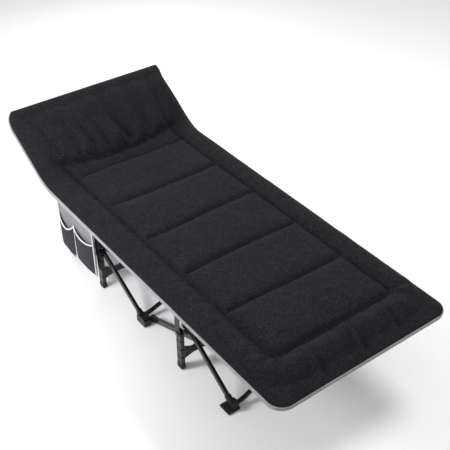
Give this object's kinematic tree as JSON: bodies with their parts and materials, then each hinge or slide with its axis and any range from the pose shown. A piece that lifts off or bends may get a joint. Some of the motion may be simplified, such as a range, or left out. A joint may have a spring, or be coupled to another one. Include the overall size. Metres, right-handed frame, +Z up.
{
  "type": "folding cot",
  "caption": "Padded folding bed with a raised head end and a hanging side bag, on a frame that folds in half with its legs and floor struts.",
  "frame": {"origin": "on the floor, under the middle of the open cot's bounding box", "axes": "+X towards the foot end, +Z up, the side bag hangs on the -Y side"},
  "size_m": [1.7951, 0.75, 0.5755],
  "materials": {
    "black_tube": "satin black powder coat",
    "black_plastic": "moulded, slightly glossy edges",
    "rubber_pad": "matte",
    "pin_steel": "dark zinc",
    "charcoal_fabric": "heather linen-look weave",
    "sling_fabric": "light grey coated weave",
    "pocket_fabric": "dark grey weave with light binding"
  },
  "bodies": {
    "head_half": {"rail_head_right": "black_tube", "rail_head_left": "black_tube", "bar_head": "black_tube", "hinge_leaf_head_right": "black_plastic", "hinge_leaf_head_left": "black_plastic", "hub_head_right": "black_plastic", "hub_head_left": "black_plastic", "bolt_head_right": "pin_steel", "bolt_head_left": "pin_steel", "sling_head": "sling_fabric", "mat_head": "charcoal_fabric", "pillow": "charcoal_fabric", "side_bag": "sling_fabric", "pocket_head": "pocket_fabric", "pocket_foot": "pocket_fabric"},
    "foot_half": {"rail_foot_right": "black_tube", "rail_foot_left": "black_tube", "bar_foot": "black_tube", "hinge_leaf_foot_right": "black_plastic", "hinge_leaf_foot_left": "black_plastic", "hinge_pin_right": "pin_steel", "hinge_pin_left": "pin_steel", "hub_foot_right": "black_plastic", "hub_foot_left": "black_plastic", "bolt_foot_right": "pin_steel", "bolt_foot_left": "pin_steel", "sling_foot": "sling_fabric", "mat_foot": "charcoal_fabric"},
    "leg_frame_head": {"leg_head_right": "black_tube", "leg_head_left": "black_tube", "leg_cap_head_right": "rubber_pad", "leg_cap_head_left": "rubber_pad", "strut_head": "black_plastic"},
    "leg_frame_foot": {"leg_foot_right": "black_tube", "leg_foot_left": "black_tube", "leg_cap_foot_right": "rubber_pad", "leg_cap_foot_left": "rubber_pad", "strut_foot": "black_plastic"},
    "mid_frame": {"diag_mid_right": "black_tube", "diag_mid_left": "black_tube", "mid_block_right": "black_plastic", "mid_block_left": "black_plastic", "floor_tube_mid": "black_tube"},
    "floor_frame_head": {"diag_head_right": "black_tube", "diag_head_left": "black_tube", "pad_head_right": "rubber_pad", "pad_head_left": "rubber_pad", "floor_tube_head": "black_tube"},
    "floor_frame_foot": {"diag_foot_right": "black_tube", "diag_foot_left": "black_tube", "pad_foot_right": "rubber_pad", "pad_foot_left": "rubber_pad", "floor_tube_foot": "black_tube"},
    "brace_frame_right": {"brace_right": "black_tube", "brace_knuckle_right": "black_plastic"},
    "brace_frame_left": {"brace_left": "black_tube", "brace_knuckle_left": "black_plastic"}
  },
  "joints": [
    {"name": "book_fold", "type": "hinge", "parent": "head_half", "child": "foot_half", "pos_m": [-0.012, 0, 0.3545], "axis": [0, -1, 0], "range_deg": [0, 150], "deforming": ["mat_foot", "mat_head", "pillow"]},
    {"name": "leg_fold_head", "type": "hinge", "parent": "head_half", "child": "leg_frame_head", "pos_m": [-0.298, 0, 0.178], "axis": [0, 1, 0], "range_deg": [0, 91]},
    {"name": "leg_fold_foot", "type": "hinge", "parent": "foot_half", "child": "leg_frame_foot", "pos_m": [0.274, 0, 0.178], "axis": [0, -1, 0], "range_deg": [0, 91]},
    {"name": "mid_fold", "type": "hinge", "parent": "head_half", "child": "mid_frame", "pos_m": [-0.298, 0, 0.178], "axis": [0, -1, 0], "range_deg": [0, 31]},
    {"name": "floor_fold_head", "type": "hinge", "parent": "head_half", "child": "floor_frame_head", "pos_m": [-0.32, 0, 0.1884], "axis": [0, 1, 0], "range_deg": [0, 43]},
    {"name": "floor_fold_foot", "type": "hinge", "parent": "foot_half", "child": "floor_frame_foot", "pos_m": [0.296, 0, 0.1884], "axis": [0, -1, 0], "range_deg": [0, 43]},
    {"name": "brace_fold_right", "type": "hinge", "parent": "floor_frame_foot", "child": "brace_frame_right", "pos_m": [0.34, 0, 0.16005], "axis": [0, 1, 0], "range_deg": [0, 65.5]},
    {"name": "brace_fold_left", "type": "hinge", "parent": "floor_frame_foot", "child": "brace_frame_left", "pos_m": [0.34, 0, 0.16005], "axis": [0, 1, 0], "range_deg": [0, 65.5]}
  ],
  "couplings": [
    {"joint": "leg_fold_head", "follows": "book_fold", "ratio": 0.6},
    {"joint": "leg_fold_foot", "follows": "book_fold", "ratio": 0.6},
    {"joint": "mid_fold", "follows": "book_fold", "ratio": 0.2},
    {"joint": "floor_fold_head", "follows": "book_fold", "ratio": 0.28},
    {"joint": "floor_fold_foot", "follows": "book_fold", "ratio": 0.28},
    {"joint": "brace_fold_right", "follows": "book_fold", "ratio": 0.43},
    {"joint": "brace_fold_left", "follows": "book_fold", "ratio": 0.43}
  ]
}
